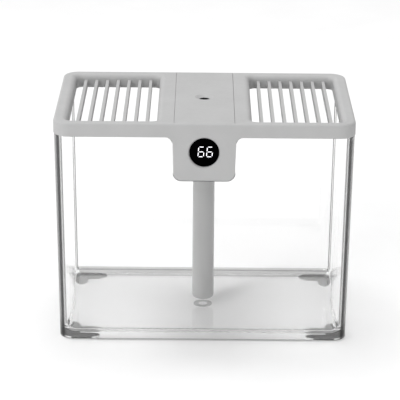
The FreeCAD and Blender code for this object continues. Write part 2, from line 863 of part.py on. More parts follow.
def cut_housing_holes(body):
    """Everything that is cut from the housing's mouldings."""
    cut_tube_socket(body)
    cut_screw_holes(body)
    lead_way = flat_sketch(body, tower_top)
    add_rectangle(lead_way, d.lead_spacing * 2, (tower_radius - seat_radius) / 2 + d.lead_way_gap,
                  y=(tower_radius + seat_radius) / 2)
    pocket(body, lead_way, tower_top - disc_top)
    key_way = upright_sketch(body, -housing_half_y)
    key_half = key_flange + d.key_way_gap
    key_low = key_height - key_half
    add_rectangle(key_way, key_half, (housing_top - key_low) / 2, y=(housing_top + key_low) / 2)
    pocket(body, key_way, d.housing_wall)
    power_way = upright_sketch(body, housing_half_y)
    add_power_slot(power_way)
    pocket(body, power_way, d.housing_wall, reverse=True)


def cut_tube_socket(body):
    """The socket with its lug groove, the seat above it, and the slots where the lugs go in."""
    collar_base = housing_base - d.collar_length
    groove_top = lug_groove_base + d.lug_groove_height
    wick_bore = d.wick_radius + d.wick_bore_gap
    turned(body, "Groove", [
        (ZERO, collar_base), (socket_radius, collar_base), (socket_radius, lug_groove_base),
        (lug_groove_radius, lug_groove_base), (lug_groove_radius, groove_top),
        (socket_radius, groove_top), (socket_radius, socket_top), (wick_bore, socket_top),
        (wick_bore, seat_base), (seat_radius, seat_base), (seat_radius, tower_top), (ZERO, tower_top),
    ])
    entry = flat_sketch(body, collar_base)
    entry.AttachmentOffset = FreeCAD.Placement(FreeCAD.Vector(0, 0, collar_base.value),
                                               FreeCAD.Rotation(ALONG_Z, d.twist_to_open.value))
    bind(entry, "AttachmentOffset.Rotation.Angle", d.twist_to_open)
    add_rectangle(entry, lug_groove_radius, d.lug_width / 2 + d.lug_play)
    pocket(body, entry, groove_top - collar_base, reverse=True)


def cut_screw_holes(body):
    """Wells and holes in the columns, and pilots in the board's standoffs and the tower."""
    wells = flat_sketch(body, housing_base)
    holes = flat_sketch(body, housing_top)
    for x, y in COLUMNS:
        add_circle(wells, d.screw_head_well, x, y)
        add_circle(holes, d.screw_hole, x, y)
    pocket(body, wells, housing_top - housing_base - d.screw_cheek, reverse=True)
    pocket(body, holes, d.screw_cheek)
    pilots = flat_sketch(body, main_board_base)
    for x, y in STANDOFFS:
        add_circle(pilots, d.board_screw_radius, x, y)
    pocket(body, pilots, d.board_screw_length)
    retainer_pilots = flat_sketch(body, tower_top)
    for x, y in retainer_screw_places():
        add_circle(retainer_pilots, d.small_screw_radius, x, y)
    pocket(body, retainer_pilots, d.small_screw_length)


def make_housing_gasket():
    """Flat seal between the housing's rim and the lid's rails."""
    body = new_body("housing_gasket")
    sketch = flat_sketch(body, housing_top)
    add_rectangle(sketch, housing_half_x, housing_half_y, d.housing_corner)
    add_rectangle(sketch, inner_half_x, inner_half_y, d.housing_corner - d.housing_wall)
    pad(body, sketch, d.gasket_thickness)
    clear = flat_sketch(body, housing_top)
    for x, y in COLUMNS:
        add_circle(clear, d.lid_boss_radius, x, y)
    pocket(body, clear, d.gasket_thickness, reverse=True)
    return [body]


def screw(name, x, y, seat, size, upward):
    """A screw whose head bears on seat; upward is 1 where its shank points up, -1 where it points down."""
    shank_radius, shank_length, head_radius, head_height = size
    if upward > 0:
        head_base, shank_base = seat - head_height, seat
    else:
        head_base, shank_base = seat, seat - shank_length
    head = rod(name + "_head", head_radius, head_height, x, y, head_base)
    shank = rod(name + "_shank", shank_radius, shank_length, x, y, shank_base)
    drive_depth = head_height / 2
    drive_base = head_base if upward > 0 else head_base + drive_depth
    arm, width = head_radius * CROSS_LENGTH, head_radius * CROSS_WIDTH
    cross = fused(name + "_drive", [
        centred_box(name + "_drive_a", x, y, drive_base, (arm, width, drive_depth)),
        centred_box(name + "_drive_b", x, y, drive_base, (width, arm, drive_depth)),
    ])
    return less(name, fused(name + "_blank", [head, shank]), cross)


def make_housing_screws():
    size = (d.screw_radius, d.screw_length, d.screw_head_radius, d.screw_head_height)
    seat = housing_top - d.screw_cheek
    screws = [screw("housing_screw", x, y, seat, size, 1) for x, y in COLUMNS]
    return [group("housing_screws", screws)]


def make_board_screws():
    size = (d.board_screw_radius, d.board_screw_length, d.board_screw_head, d.board_screw_head_height)
    screws = [screw("board_screw", x, y, main_board_top, size, -1) for x, y in STANDOFFS]
    return [group("board_screws", screws)]


def retainer_screw_places():
    """Places of the retainer's screws, evenly round the tower."""
    angles = [math.radians(angle) for angle in RETAINER_SCREW_ANGLES]
    return [(retainer_screw_circle * math.cos(angle), retainer_screw_circle * math.sin(angle))
            for angle in angles]


def make_retainer():
    """Ring that presses the atomiser's seal into its seat, and its screws."""
    body = new_body("atomiser_retainer")
    top = tower_top + d.retainer_thickness
    inner = chimney_radius + d.socket_gap
    turned(body, "Revolution", [
        (inner, seal_top), (inner + d.retainer_lip, seal_top), (inner + d.retainer_lip, tower_top),
        (tower_radius, tower_top), (tower_radius, top), (inner, top),
    ])
    holes = flat_sketch(body, top)
    for x, y in retainer_screw_places():
        add_circle(holes, d.small_screw_radius + d.play, x, y)
    pocket(body, holes, d.retainer_thickness)
    size = (d.small_screw_radius, d.small_screw_length, d.small_screw_head, d.small_screw_head_height)
    screws = [screw("retainer_screw", x, y, top, size, -1) for x, y in retainer_screw_places()]
    return [body, group("retainer_screws", screws)]


def make_atomiser():
    """Piezo ring with its perforated plate under it, held in the groove of a soft seal."""
    seal = new_body("atomiser_seal")
    seal_radius, mesh_base = seat_radius - d.play, disc_base - d.mesh_thickness
    turned(seal, "Revolution", [
        (seal_bore, seat_base), (seal_radius, seat_base), (seal_radius, seal_top), (seal_bore, seal_top),
        (seal_bore, disc_top), (disc_radius, disc_top), (disc_radius, disc_base),
        (mesh_radius, disc_base), (mesh_radius, mesh_base), (seal_bore, mesh_base),
    ])
    disc = new_body("atomiser_disc")
    ring = flat_sketch(disc, disc_base)
    add_circle(ring, disc_radius)
    add_circle(ring, disc_hole)
    pad(disc, ring, d.disc_thickness)
    mesh = rod("atomiser_mesh", mesh_radius, d.mesh_thickness, ZERO, ZERO, mesh_base)
    return [seal, disc, mesh]


def make_wick_tube():
    """Tube that hangs in the water: round foot with the intake, seal groove, and two locking lugs."""
    body = new_body("wick_tube")
    bend, groove_half = d.tube_end_round, d.seal_wire + d.play
    groove_floor = socket_radius - d.seal_wire * 2
    low, high = tube_seal_height - groove_half, tube_seal_height + groove_half
    turned(body, "Revolution", [
        (intake_radius, d.tube_lift), (tube_radius - bend, d.tube_lift, bend, 1),
        (tube_radius, d.tube_lift + bend), (tube_radius, low), (groove_floor, low), (groove_floor, high),
        (tube_radius, high), (tube_radius, tube_top), (tube_bore, tube_top),
        (tube_bore, tube_floor_top), (intake_radius, tube_floor_top),
    ])
    lugs = flat_sketch(body, lug_groove_base + d.lug_play)
    lug_root, lug_tip = tube_bore + d.play * 2, tube_radius + d.lug_reach
    for side in (-1, 1):
        add_rectangle(lugs, (lug_tip - lug_root) / 2, d.lug_width / 2, x=side * (lug_tip + lug_root) / 2)
    pad(body, lugs, d.lug_height)
    slot = upright_sketch(body, ZERO)
    slot_middle = tube_floor_top + d.intake_slot_height / 2 + d.tube_end_round
    add_rectangle(slot, d.intake_slot_width / 2, d.intake_slot_height / 2,
                  d.intake_slot_width / 2 - d.play, y=slot_middle)
    pocket(body, slot, tube_radius * 2)
    return [body]


def make_tube_seal():
    """O-ring in the tube's groove."""
    ring = doc.addObject("Part::Torus", "tube_seal")
    bind(ring, "Radius1", socket_radius - d.seal_wire - d.play / 2)
    bind(ring, "Radius2", d.seal_wire - d.play / 2)
    bind(ring, "Placement.Base.z", tube_seal_height)
    return [ring]


def make_wick():
    """Compressed cotton stick from the spring up to the perforated plate."""
    body = new_body("wick")
    sketch = flat_sketch(body, wick_base)
    add_circle(sketch, d.wick_radius)
    stick = pad(body, sketch, wick_top - wick_base)
    round_edges(body, stick, lambda edge: lies_at(edge, "Z", wick_base) or lies_at(edge, "Z", wick_top),
                d.fine_edge_round)
    return [body]


def make_wick_spring():
    """Coil spring under the wick."""
    height = d.spring_length.value - 2 * d.spring_wire.value
    turns = int(d.spring_turns.value)
    helix = Part.makeHelix(height / turns, height, spring_radius.value)
    start = FreeCAD.Vector(spring_radius.value, 0, 0)
    section = Part.Wire(Part.makeCircle(d.spring_wire.value, start, ALONG_Y))
    coil = Part.Wire(helix).makePipeShell([section], True, True)
    spring = ready_shape("wick_spring", coil)
    spring.Placement.Base = FreeCAD.Vector(0, 0, spring_base.value + d.spring_wire.value)
    return [spring]


def make_display_key():
    """Round black lens that is pressed as the key, its carrier behind the apron, and the switch plunger."""
    lens = new_body("display_lens")
    face = upright_sketch(lens, lens_front)
    add_circle(face, d.lens_radius, ZERO, key_height)
    glass = pad(lens, face, key_face - lens_front, reverse=True)
    round_edges(lens, glass, lambda edge: lies_at(edge, "Y", lens_front), d.fine_edge_round)
    carrier = new_body("button_carrier")
    flange = upright_sketch(carrier, key_face)
    add_circle(flange, key_flange, ZERO, key_height)
    pad(carrier, flange, d.key_flange_thickness, reverse=True)
    window = upright_sketch(carrier, key_face)
    add_rectangle(window, d.key_window_width / 2, d.key_window_height / 2, d.key_window_corner,
                  y=key_height)
    pocket(carrier, window, d.key_flange_thickness)
    flat = upright_sketch(carrier, key_face)
    flat_low = housing_top - d.key_flat_gap
    add_rectangle(flat, key_flange * 2, key_flange / 2, y=flat_low + key_flange / 2)
    pocket(carrier, flat, d.key_flange_thickness)
    plunger = new_body("switch_plunger")
    tip = upright_sketch(plunger, key_back)
    add_circle(tip, d.plunger_radius, ZERO, switch_height)
    pad(plunger, tip, display_board_front - d.switch_depth + d.plunger_reach - key_back, reverse=True)
    return [lens, carrier, plunger]


def make_display_board():
    """Upright board behind the key with the digit module, the key's switch and the humidity sensor."""
    board = box("display_board", (-display_board_half, display_board_front, display_board_base),
                (display_board_half * 2, d.board_thickness, display_board_top - display_board_base))
    digits = box("digit_display",
                 (-d.digit_width / 2, display_board_front - d.digit_depth, key_height - d.digit_height / 2),
                 (d.digit_width, d.digit_depth, d.digit_height))
    switch = new_body("button_switch")
    face = upright_sketch(switch, display_board_front)
    add_rectangle(face, d.switch_width / 2, d.switch_width / 2, y=switch_height)
    pad(switch, face, d.switch_depth)
    well = upright_sketch(switch, display_board_front - d.switch_depth)
    add_circle(well, d.plunger_radius + d.socket_gap, ZERO, switch_height)
    pocket(switch, well, d.plunger_reach + d.key_travel + d.socket_gap)
    sensor_place = (-display_board_half + d.sensor_width, display_board_front - d.sensor_depth,
                    display_board_base + d.sensor_width)
    sensor = box("humidity_sensor", sensor_place, (d.sensor_width, d.sensor_depth, d.sensor_width))
    return [board, digits, switch, sensor]


def make_main_board():
    """Level board at the back of the housing, T shaped to reach between the rear screw columns."""
    body = new_body("main_board")
    plan = flat_sketch(body, main_board_base)
    add_outline(plan, [
        (-main_board_half, main_board_front), (main_board_half, main_board_front),
        (main_board_half, main_board_rear), (board_tongue_half, main_board_rear),
        (board_tongue_half, board_tongue_rear), (-board_tongue_half, board_tongue_rear),
        (-board_tongue_half, main_board_rear), (-main_board_half, main_board_rear),
    ])
    for x, y in STANDOFFS:
        add_circle(plan, d.board_screw_radius + d.play, x, y)
    pad(body, plan, d.board_thickness)
    return [body]


def make_board_parts():
    """What stands on the main board: coil, capacitor, controller, and driver transistor."""
    top, middle = main_board_top, (main_board_front + main_board_rear) / 2
    side = main_board_half - d.coil_side_inset
    inductor = rod("inductor", d.inductor_radius, d.inductor_height, -side, middle, top)
    capacitor = rod("filter_capacitor", d.capacitor_radius, d.capacitor_height, side, middle, top)
    controller = centred_box("controller_chip", ZERO, main_board_front + d.controller_inset, top,
                             (d.controller_width, d.controller_depth, d.controller_height))
    driver = centred_box("driver_transistor", ZERO, main_board_rear - d.driver_inset, top,
                         (d.driver_width, d.driver_depth, d.driver_height))
    return [inductor, capacitor, controller, driver]


def make_power_socket():
    """Power inlet: a rounded metal shell open to the rear, with a contact tongue."""
    body = new_body("power_socket")
    half_x, half_z = d.power_width / 2, d.power_height / 2
    outline = upright_sketch(body, power_mouth)
    add_rectangle(outline, half_x, half_z, half_z - d.play, y=power_centre)
    pad(body, outline, d.power_length)
    cavity = upright_sketch(body, power_mouth)
    add_rectangle(cavity, half_x - d.power_shell, half_z - d.power_shell,
                  half_z - d.play - d.power_shell, y=power_centre)
    pocket(body, cavity, d.power_length - d.power_back, reverse=True)
    tongue = upright_sketch(body, power_mouth - d.power_length + d.power_shell)
    add_rectangle(tongue, d.power_tongue_width / 2, d.power_tongue_thickness / 2, y=power_centre)
    pad(body, tongue, d.power_back - d.power_shell + d.power_tongue_length, reverse=True)
    return [body]


def strip_along(points, thickness):
    """A flat face of the given thickness along a run of level points."""
    left, right = [], []
    for number, point in enumerate(points):
        before = points[max(number - 1, 0)]
        after = points[min(number + 1, len(points) - 1)]
        along = (after - before).normalize()
        across = FreeCAD.Vector(-along.y, along.x, 0) * (thickness / 2)
        left.append(point + across)
        right.append(point - across)
    outline = left + right[::-1]
    return Part.Face(Part.makePolygon(outline + outline[:1]))


def make_display_ribbon():
    """Flat cable on edge from the display board, past the tower, to the front of the main board."""
    by_column = -(column_across - d.column_radius - d.ribbon_side_gap)
    by_wall = -(inner_half_x + tower_radius) / 2
    run = [(by_column, -display_board_back), (by_column, -(column_front - d.column_radius)),
           (by_wall, -tower_radius), (by_wall, ZERO),
           (-main_board_half + d.ribbon_end_inset, main_board_front + d.ribbon_end_inset)]
    points = [FreeCAD.Vector(x.value, y.value, main_board_top.value) for x, y in run]
    shape = strip_along(points, d.ribbon_thickness.value).extrude(ALONG_Z * d.ribbon_height.value)
    return [ready_shape("display_ribbon", shape)]


def lead_path(x):
    """Line out over the tower's wall, a quarter bend, and a line down to the main board."""
    bend = d.lead_bend.value
    level, drop_at = disc_top.value + bend / 2, main_board_front.value + bend / 2
    corner = FreeCAD.Vector(x, drop_at, level)
    begin = FreeCAD.Vector(x, seat_radius.value, level)
    finish = FreeCAD.Vector(x, drop_at, main_board_top.value)
    arc_start, arc_end = corner - ALONG_Y * bend, corner - ALONG_Z * bend
    arc_middle = corner - (ALONG_Y + ALONG_Z) * (bend * (1 - math.sqrt(0.5)))
    arc = Part.Arc(arc_start, arc_middle, arc_end).toShape()
    return begin, Part.Wire([Part.makeLine(begin, arc_start), arc, Part.makeLine(arc_end, finish)])


def make_disc_leads():
    """Two wires from the disc's seal, over the tower's wall and down to the main board."""
    leads = []
    for side in (-1, 1):
        begin, path = lead_path(side * d.lead_spacing.value)
        section = Part.Wire(Part.makeCircle(d.lead_radius.value, begin, ALONG_Y))
        leads.append(path.makePipeShell([section], True, False))
    return [ready_shape("disc_leads", Part.makeCompound(leads))]


def check_document():
    """Every object computed, and every cut took something away."""
    doc.recompute()
    for item in doc.Objects:
        if "Invalid" in item.State or "Error" in item.State:
            raise RuntimeError("%s was not computed: %s" % (item.Label, item.State))
        if item.TypeId in ("PartDesign::Pocket", "PartDesign::Groove"):
            before, after = item.BaseFeature.Shape.Volume, item.Shape.Volume
            if after > before - SAME_PLACE:
                raise RuntimeError("%s cuts nothing" % item.Label)


def write_nodes(nodes):
    os.makedirs("parts", exist_ok=True)
    for node in nodes:
        if node.Shape.isNull() or not node.Shape.isValid():
            raise RuntimeError("%s has no valid shape" % node.Label)
    for node in nodes:
        node.Shape.exportStep(os.path.join("parts", node.Label + ".step"))


MAKERS = [
    make_tank, make_foot_pads, make_lid_frame, make_top_cover, make_mist_sleeve, make_housing,
    make_housing_gasket, make_housing_screws, make_retainer, make_atomiser, make_wick_tube,
    make_tube_seal, make_wick, make_wick_spring, make_display_key, make_display_board, make_main_board,
    make_board_parts, make_board_screws, make_power_socket, make_display_ribbon, make_disc_leads,
]

all_nodes = [node for make in MAKERS for node in make()]
check_document()
write_nodes(all_nodes)
print("%d nodes" % len(all_nodes))
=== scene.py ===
import math

import bmesh
import bpy
from mathutils import Matrix, Vector


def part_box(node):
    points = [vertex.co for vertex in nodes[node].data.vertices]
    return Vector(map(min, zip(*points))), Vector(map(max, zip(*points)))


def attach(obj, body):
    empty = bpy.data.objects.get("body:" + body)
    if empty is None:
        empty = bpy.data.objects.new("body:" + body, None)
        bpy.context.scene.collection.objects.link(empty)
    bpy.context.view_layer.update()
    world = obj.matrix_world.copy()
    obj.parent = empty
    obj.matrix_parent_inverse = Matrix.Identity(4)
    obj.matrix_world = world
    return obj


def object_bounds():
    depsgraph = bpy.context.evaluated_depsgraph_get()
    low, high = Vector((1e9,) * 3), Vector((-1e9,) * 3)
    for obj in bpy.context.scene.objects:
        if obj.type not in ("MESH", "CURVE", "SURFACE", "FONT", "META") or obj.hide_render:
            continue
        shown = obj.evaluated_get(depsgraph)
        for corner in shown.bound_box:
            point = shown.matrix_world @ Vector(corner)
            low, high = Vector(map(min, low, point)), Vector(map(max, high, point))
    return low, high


# Looks of the cool mist humidifier: a clear tank under a pale grey lid. Lengths are in metres.

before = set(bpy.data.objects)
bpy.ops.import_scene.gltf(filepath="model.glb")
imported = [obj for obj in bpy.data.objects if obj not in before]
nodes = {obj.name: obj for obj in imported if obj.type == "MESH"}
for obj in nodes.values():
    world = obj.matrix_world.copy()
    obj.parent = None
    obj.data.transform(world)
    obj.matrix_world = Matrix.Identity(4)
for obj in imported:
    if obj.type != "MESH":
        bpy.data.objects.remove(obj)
cad_low, cad_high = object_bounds()
tank_low, tank_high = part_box("tank")

MM = 0.001
# The satin underside of the clear moulding: its level, its grey, and the share of light it scatters.
SATIN_BELOW = 1.2 * MM
SATIN_SHADE = 0.95
SATIN_SHARE = 0.95
# Height of the moulding's foot, whose rounds let less light through to the table.
SHADE_BELOW = 10 * MM
# Share of light that a shadow ray keeps at each face of the clear moulding, of its underside and its foot.
CLEAR_PASSES = 0.96
SATIN_PASSES = 0.15
FOOT_PASSES = 0.92
# Painted shade: greys that a round outer edge takes as it turns away, by how slantingly it is seen, drawn
# in as the dark rims of the clear moulding's rounds.
EDGE_SHADE_BANDS = ((0.16, 1.0), (0.25, 0.45), (0.32, 0.004), (0.49, 0.002), (0.57, 0.07), (1.0, 0.07))
# Least level distance from the tank's upright axis to the plane of an outer face.
OUTWARD_LEAST = 10 * MM
# Reach of the rounds on the tank's outer corners and round its foot.
OUTER_ROUND = 7.5 * MM
LOWER_ROUND = 3.0 * MM
# Levels of the round between the tank's walls and floor, and |x| - |y| on its upright inner corners.
FOOT_ROUND = (3.25 * MM, 6.0 * MM)
INNER_CORNER = 31.2 * MM
# Half the width of the line of painted shade on those corners.
LINE_REACH = 0.6 * MM
# Reach of the mark in the middle of the tank's floor, and how far under the round the floor's faces end.
MARK_REACH = 6 * MM
FLOOR_MARGIN = 0.2 * MM
# Greys that tint the round at the floor and the inner corners with painted shade, and the mark.
FOOT_SHADE_TINT = 0.36
LINE_SHADE_TINT = 0.10
MARK_TINT = 0.38
# Grey and density of the clear moulding's own colour.
CAST_SHADE = 0.80
CAST_DENSITY = 6.0
# Where the middle of a noise's values lies.
NOISE_MIDDLE = (0.3, 0.7)

# Camera: where it stands, how far it looks down, and how far it leans to one side.
CAMERA_PLACE = Vector((-0.00207, -1.0231, 0.4350))
CAMERA_DOWN = math.radians(19.82)
CAMERA_LEAN = math.radians(0.47)
CAMERA_LENS_MM = 171.9
CAMERA_SENSOR_MM = 36.0


def make_camera():
    data = bpy.data.cameras.new("camera")
    data.lens = CAMERA_LENS_MM
    data.sensor_width = CAMERA_SENSOR_MM
    data.clip_start = 0.01
    data.clip_end = 20
    camera = bpy.data.objects.new("camera", data)
    bpy.context.scene.collection.objects.link(camera)
    ahead = Vector((0, math.cos(CAMERA_DOWN), -math.sin(CAMERA_DOWN)))
    right = Vector((1, 0, 0))
    up = right.cross(ahead)
    leaned_right = right * math.cos(CAMERA_LEAN) + up * math.sin(CAMERA_LEAN)
    leaned_up = up * math.cos(CAMERA_LEAN) - right * math.sin(CAMERA_LEAN)
    turn = Matrix((leaned_right, leaned_up, -ahead)).transposed().to_4x4()
    camera.matrix_world = Matrix.Translation(CAMERA_PLACE) @ turn
    bpy.context.scene.camera = camera


class Nodes:
    """A material's node tree, with short calls for the nodes that the materials here share."""

    def __init__(self, name):
        self.material = bpy.data.materials.new(name)
        self.material.use_nodes = True
        self.tree = self.material.node_tree
        self.tree.nodes.clear()
        self.output = self.add("ShaderNodeOutputMaterial")
        self.place = self.add("ShaderNodeTexCoord").outputs["Object"]

    def add(self, kind, **values):
        node = self.tree.nodes.new(kind)
        for name, value in values.items():
            setattr(node, name, value)
        return node

    def link(self, source, target):
        self.tree.links.new(source, target)

    def noise(self, per_mm, detail=2.0, stretch=(1, 1, 1)):
        """Noise with per_mm features in a millimetre, as a number about one half."""
        scaling = self.add("ShaderNodeVectorMath", operation="MULTIPLY")
        scaling.inputs[1].default_value = [per_mm / MM * way for way in stretch]
        self.link(self.place, scaling.inputs[0])
        noise = self.add("ShaderNodeTexNoise")
        noise.inputs["Scale"].default_value = 1.0
        noise.inputs["Detail"].default_value = detail
        self.link(scaling.outputs[0], noise.inputs["Vector"])
        return noise.outputs["Fac"]

    def spread(self, number, low, high):
        """The middle of a noise's range stretched to run from low to high."""
        ranging = self.add("ShaderNodeMapRange")
        ranging.inputs["From Min"].default_value = NOISE_MIDDLE[0]
        ranging.inputs["From Max"].default_value = NOISE_MIDDLE[1]
        ranging.inputs["To Min"].default_value = low
        ranging.inputs["To Max"].default_value = high
        self.link(number, ranging.inputs["Value"])
        return ranging.outputs["Result"]

    def mixed(self, number, low, high):
        """A colour between two colours."""
        mix = self.add("ShaderNodeMix", data_type="RGBA")
        mix.inputs["A"].default_value = (*low, 1)
        mix.inputs["B"].default_value = (*high, 1)
        self.link(number, mix.inputs["Factor"])
        return mix.outputs["Result"]

    def math(self, operation, *values):
        """A sum, product or comparison of numbers and of other nodes' outputs."""
        node = self.add("ShaderNodeMath", operation=operation)
        for socket, value in zip(node.inputs, values):
            if isinstance(value, (int, float)):
                socket.default_value = value
            else:
                self.link(value, socket)
        return node.outputs[0]

    def bump(self, number, depth_mm, before=None):
        bump = self.add("ShaderNodeBump")
        bump.inputs["Strength"].default_value = 1.0
        bump.inputs["Distance"].default_value = depth_mm * MM
        self.link(number, bump.inputs["Height"])
        if before is not None:
            self.link(before, bump.inputs["Normal"])
        return bump.outputs["Normal"]

    def principled(self, **values):
        shader = self.add("ShaderNodeBsdfPrincipled")
        for name, value in values.items():
            shader.inputs[name.replace("_", " ")].default_value = value
        self.link(shader.outputs[0], self.output.inputs["Surface"])
        return shader


def shade(value, warmth=0.0):
    """A grey, a little warmer in red and cooler in blue where warmth is positive."""
    return (value * (1 + warmth), value, value * (1 - warmth))


def moulded(name, value, roughness, grain_mm=0.004, warmth=0.0, specular=0.5, variation=0.03):
    """Moulded plastic: even colour with faint cloudiness, and a fine spark-eroded grain."""
    build = Nodes(name)
    shader = build.principled(Specular_IOR_Level=specular)
    cloud = build.spread(build.noise(0.06), 0, 1)
    low, high = value * (1 - variation), value * (1 + variation)
    colour = build.mixed(cloud, shade(low, warmth), shade(high, warmth))
    build.link(colour, shader.inputs["Base Color"])
    build.link(build.spread(build.noise(0.5), roughness - 0.05, roughness + 0.05),
               shader.inputs["Roughness"])
    build.link(build.bump(build.noise(3.0, 3.0), grain_mm), shader.inputs["Normal"])
    return build.material


def outer_face(build):
    """1 where a ray meets the moulding's outer walls from outside, and 0 elsewhere."""
    geometry = build.add("ShaderNodeNewGeometry")
    level = build.add("ShaderNodeVectorMath", operation="MULTIPLY")
    level.inputs[1].default_value = (1, 1, 0)
    build.link(build.place, level.inputs[0])
    outward = build.add("ShaderNodeVectorMath", operation="DOT_PRODUCT")
    build.link(level.outputs[0], outward.inputs[0])
    build.link(geometry.outputs["Normal"], outward.inputs[1])
    outside = build.math("SUBTRACT", 1.0, geometry.outputs["Backfacing"])
    far = build.math("GREATER_THAN", outward.outputs["Value"], OUTWARD_LEAST)
    return build.math("MULTIPLY", far, outside)


def tinted(build, colour, share, value):
    """A colour turned towards a grey by a share."""
    mix = build.add("ShaderNodeMix", data_type="RGBA", blend_type="MULTIPLY")
    build.link(colour, mix.inputs["A"])
    mix.inputs["B"].default_value = (*shade(value), 1)
    build.link(share, mix.inputs["Factor"])
    return mix.outputs["Result"]


def painted_edge_shade(build, share):
    """White, with painted shade: dark in a band near a round outer edge where it turns away."""
    slant = build.add("ShaderNodeLayerWeight")
    slant.inputs["Blend"].default_value = 0.5
    ramp = build.add("ShaderNodeValToRGB")
    stops = ramp.color_ramp.elements
    for number, (place, value) in enumerate(EDGE_SHADE_BANDS):
        # A new ramp has two stops already.
        stop = stops[number] if number < 2 else stops.new(place)
        stop.position = place
        stop.color = (*shade(value), 1)
    build.link(slant.outputs["Facing"], ramp.inputs["Fac"])
    mix = build.add("ShaderNodeMix", data_type="RGBA")
    mix.inputs["A"].default_value = (1, 1, 1, 1)
    build.link(ramp.outputs["Color"], mix.inputs["B"])
    build.link(share, mix.inputs["Factor"])
    return mix.outputs["Result"]


def clear_colour(build, parts):
    """Clear, but for painted shade on round outer edges, the long rounds at the floor and the inner
    corners, and a grey tint on the mark.
    """
    outer = outer_face(build)
    inner = build.math("SUBTRACT", 1.0, outer)
    height = parts.outputs["Z"]
    across, along = build.math("ABSOLUTE", parts.outputs["X"]), build.math("ABSOLUTE", parts.outputs["Y"])
    corner = build.math("MULTIPLY", build.math("GREATER_THAN", across, tank_high[0] - OUTER_ROUND),
                        build.math("GREATER_THAN", along, tank_high[1] - OUTER_ROUND))
    rounded = build.math("MAXIMUM", corner, build.math("LESS_THAN", height, tank_low[2] + LOWER_ROUND))
    # Painted shade: dark bands on the outer rounds, set by how slantingly they are seen.
    colour = painted_edge_shade(build, build.math("MULTIPLY", outer, rounded))
    foot = build.math("MULTIPLY", build.math("GREATER_THAN", height, FOOT_ROUND[0]),
                      build.math("LESS_THAN", height, FOOT_ROUND[1]))
    past_corner = build.math("SUBTRACT", build.math("SUBTRACT", across, along), INNER_CORNER)
    foot_shade = build.math("MULTIPLY", foot, build.math("LESS_THAN", past_corner, 0.0))
    # Painted shade: the inner round where the front and back walls meet the floor is tinted darker.
    colour = tinted(build, colour, build.math("MULTIPLY", foot_shade, inner), FOOT_SHADE_TINT)
    # Painted shade: a dark line down each upright inner corner.
    off_corner = build.math("ABSOLUTE", past_corner)
    upright = build.math("MULTIPLY", build.math("GREATER_THAN", height, FOOT_ROUND[1]), inner)
    line = build.math("MULTIPLY", build.math("LESS_THAN", off_corner, LINE_REACH), upright)
    colour = tinted(build, colour, line, LINE_SHADE_TINT)
    floor = build.math("MULTIPLY", build.math("LESS_THAN", height, FOOT_ROUND[0] - FLOOR_MARGIN),
                       build.math("GREATER_THAN", height, SATIN_BELOW))
    near = build.math("MULTIPLY", build.math("LESS_THAN", across, MARK_REACH),
                      build.math("LESS_THAN", along, MARK_REACH))
    return tinted(build, colour, build.math("MULTIPLY", floor, near), MARK_TINT)


def blended(build, share, first, second):
    mix = build.add("ShaderNodeMixShader")
    build.link(share, mix.inputs[0])
    build.link(first, mix.inputs[1])
    build.link(second, mix.inputs[2])
    return mix.outputs[0]


def clear_plastic():
    """Polished clear moulding: faint ripple, hazy patches, painted shade darkening its edges and corners,
    and a satin underside.
    """
    build = Nodes("clear_plastic")
    parts = build.add("ShaderNodeSeparateXYZ")
    build.link(build.place, parts.inputs[0])
    shader = build.principled(Transmission_Weight=1.0, IOR=1.49)
    build.link(clear_colour(build, parts), shader.inputs["Base Color"])
    build.link(build.spread(build.noise(0.03), 0.0, 0.03), shader.inputs["Roughness"])
    build.link(build.bump(build.noise(0.05, 1.0), 0.01), shader.inputs["Normal"])
    satin = build.add("ShaderNodeBsdfDiffuse")
    satin.inputs["Color"].default_value = (*shade(SATIN_SHADE), 1)
    below = build.math("LESS_THAN", parts.outputs["Z"], SATIN_BELOW)
    seen = blended(build, build.math("MULTIPLY", below, SATIN_SHARE), shader.outputs[0], satin.outputs[0])
    path = build.add("ShaderNodeLightPath")
    clear = build.add("ShaderNodeBsdfTransparent")
    low = build.math("LESS_THAN", parts.outputs["Z"], SHADE_BELOW)
    passing = build.mixed(below, shade(CLEAR_PASSES), shade(SATIN_PASSES))
    build.link(tinted(build, passing, low, FOOT_PASSES), clear.inputs["Color"])
    whole = blended(build, path.outputs["Is Shadow Ray"], seen, clear.outputs[0])
    build.link(whole, build.output.inputs["Surface"])
    cast = build.add("ShaderNodeVolumeAbsorption")
    cast.inputs["Color"].default_value = (*shade(CAST_SHADE), 1)
    cast.inputs["Density"].default_value = CAST_DENSITY
    build.link(cast.outputs[0], build.output.inputs["Volume"])
    return build.material


def frosted_plastic():
    """Translucent grey tube, satin outside and cloudy through."""
    build = Nodes("frosted_plastic")
    shader = build.principled(Transmission_Weight=0.10, IOR=1.5, Sheen_Weight=0.3)
    cloud = build.spread(build.noise(0.03), 0, 1)
    build.link(build.mixed(cloud, shade(0.42), shade(0.45)), shader.inputs["Base Color"])
    build.link(build.spread(build.noise(0.05), 0.14, 0.2), shader.inputs["Roughness"])
    return build.material


def cotton():
    """Compressed cotton stick: fibres along its length."""
    build = Nodes("cotton")
    shader = build.principled(Roughness=0.95, Sheen_Weight=0.3)
    fibres = build.noise(2.5, 3.0, (1, 1, 0.06))
    build.link(build.mixed(build.spread(fibres, 0, 1), (0.70, 0.68, 0.62), (0.86, 0.85, 0.80)),
               shader.inputs["Base Color"])
    build.link(build.bump(fibres, 0.12), shader.inputs["Normal"])
    return build.material


def metal(name, colour, roughness, scratch_mm=0.004):
    """Drawn or plated metal with fine lines along X."""
    build = Nodes(name)
    shader = build.principled(Metallic=1.0)
    lines = build.noise(4.0, 2.0, (0.05, 1, 1))
    build.link(build.mixed(build.spread(lines, 0, 1), [part * 0.85 for part in colour], colour),
               shader.inputs["Base Color"])
    build.link(build.spread(lines, roughness - 0.06, roughness + 0.08), shader.inputs["Roughness"])
    build.link(build.bump(lines, scratch_mm), shader.inputs["Normal"])
    return build.material


